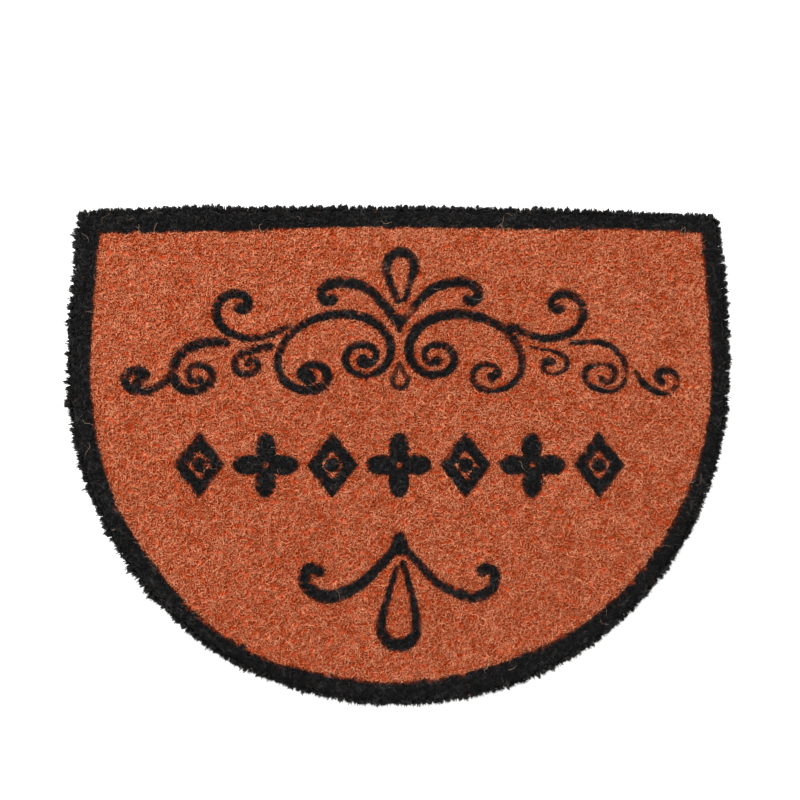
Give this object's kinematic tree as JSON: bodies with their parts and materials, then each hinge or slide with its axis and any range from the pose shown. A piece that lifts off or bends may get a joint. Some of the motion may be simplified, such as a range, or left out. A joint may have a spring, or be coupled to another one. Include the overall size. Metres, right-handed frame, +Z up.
{
  "type": "half round coir doormat",
  "caption": "Half round coir doormat: a flat brush-pile mat with a straight back edge, a curved front and a tufted rim, dyed with a dark border and scrolls.",
  "frame": {"origin": "on the floor under the middle of the mat's box", "axes": "+X along the width, +Y towards the straight back edge, +Z up"},
  "size_m": [0.5996, 0.4532, 0.018],
  "materials": {
    "coir": "matt cut coir pile, dyed terracotta with a black border and black ornament"
  },
  "bodies": {
    "root": {"mat": "coir"}
  },
  "joints": []
}
